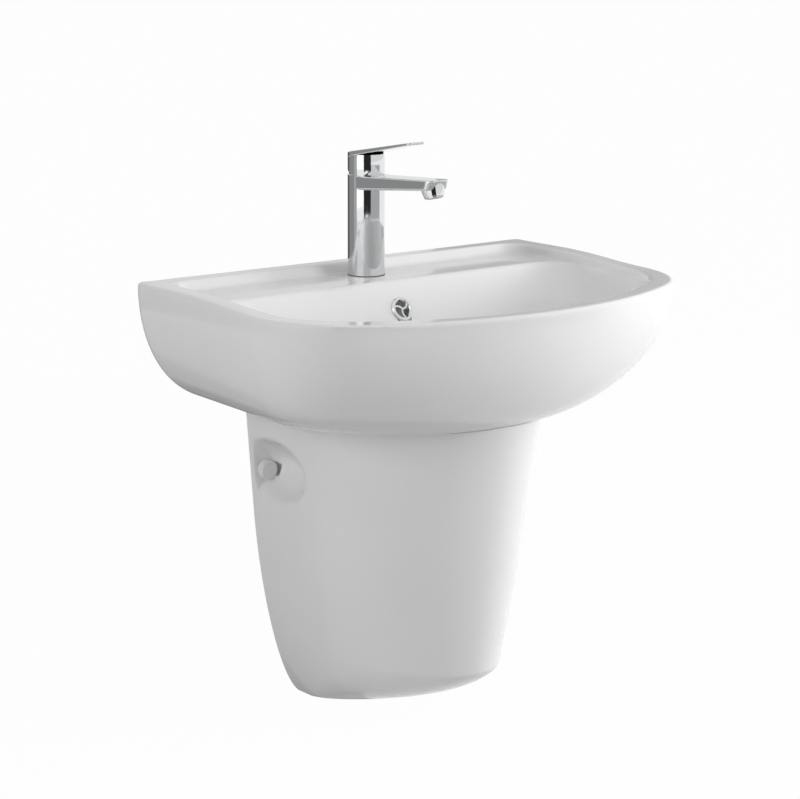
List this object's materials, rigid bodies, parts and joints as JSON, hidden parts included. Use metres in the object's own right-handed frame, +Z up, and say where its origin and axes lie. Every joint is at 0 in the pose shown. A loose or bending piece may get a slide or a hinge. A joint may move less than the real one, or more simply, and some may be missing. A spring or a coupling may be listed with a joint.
{
  "type": "washbasin with half pedestal",
  "caption": "Wall-hung washbasin with a rounded front and a sunken tap deck, over a tapered half pedestal, with a lever mixer, a push waste and a bottle trap.",
  "frame": {"origin": "on the wall plane, midway between the two studs that carry the basin", "axes": "+Z up, +Y into the wall, the user stands on the -Y side, X along the wall"},
  "size_m": [0.6, 0.4779, 0.7177],
  "materials": {
    "vitreous_china": "glossy white glaze",
    "chrome": "polished chrome plate",
    "brass": "machined brass",
    "steel": "stainless steel",
    "nylon": "moulded nylon",
    "rubber": "black rubber",
    "alumina": "ground ceramic",
    "cap": "glossy white plastic",
    "index": "grey plug"
  },
  "bodies": {
    "basin_unit": {"basin": "vitreous_china", "overflow_ring": "chrome", "half_pedestal": "vitreous_china", "wall_studs": "steel", "stud_bushes": "nylon", "stud_washers": "steel", "stud_nuts": "steel", "pedestal_screws": "steel", "pedestal_washers": "steel", "pedestal_caps": "cap", "mixer_body": "chrome", "inlet_block": "brass", "tap_gasket": "rubber", "tap_stud": "steel", "horseshoe_gasket": "rubber", "horseshoe_washer": "steel", "tap_nut": "brass", "aerator_housing": "chrome", "aerator_insert": "nylon", "aerator_seal": "rubber", "cartridge_body": "nylon", "ceramic_disc": "alumina", "cartridge_seals": "rubber", "ring_nut": "brass", "mixer_dome": "chrome", "waste_body": "chrome", "waste_flange_gasket": "rubber", "waste_gasket": "rubber", "waste_nut": "brass", "plug_guide": "nylon", "slip_nuts": "chrome", "slip_seals": "rubber", "tailpiece": "chrome", "outlet_pipe": "chrome", "trap_body": "chrome", "trap_cup": "chrome", "wall_rosette": "chrome"},
    "turret": {"cartridge_turret": "nylon", "cartridge_pin": "steel"},
    "lever": {"lever_handle": "chrome", "cartridge_spindle": "steel", "lever_screw": "steel", "index_cap": "index"},
    "slider": {"moving_disc": "alumina"},
    "plug": {"waste_plug": "chrome", "plug_seal": "rubber"}
  },
  "joints": [
    {"name": "lever_swivel", "type": "hinge", "parent": "basin_unit", "child": "turret", "pos_m": [0, -0.057, 0.219], "axis": [0, 0, 1], "range_deg": [-50, 50]},
    {"name": "lever_tilt", "type": "hinge", "parent": "turret", "child": "lever", "pos_m": [0, -0.057, 0.219], "axis": [-1, 0, 0], "range_deg": [0, 22]},
    {"name": "disc_slide", "type": "slide", "parent": "turret", "child": "slider", "axis": [0, -1, 0], "range_m": [0, 0.005]},
    {"name": "plug_slide", "type": "slide", "parent": "basin_unit", "child": "plug", "axis": [0, 0, 1], "range_m": [0, 0.009]}
  ],
  "couplings": [
    {"joint": "disc_slide", "follows": "lever_tilt", "m_per_rad": 0.0126}
  ]
}
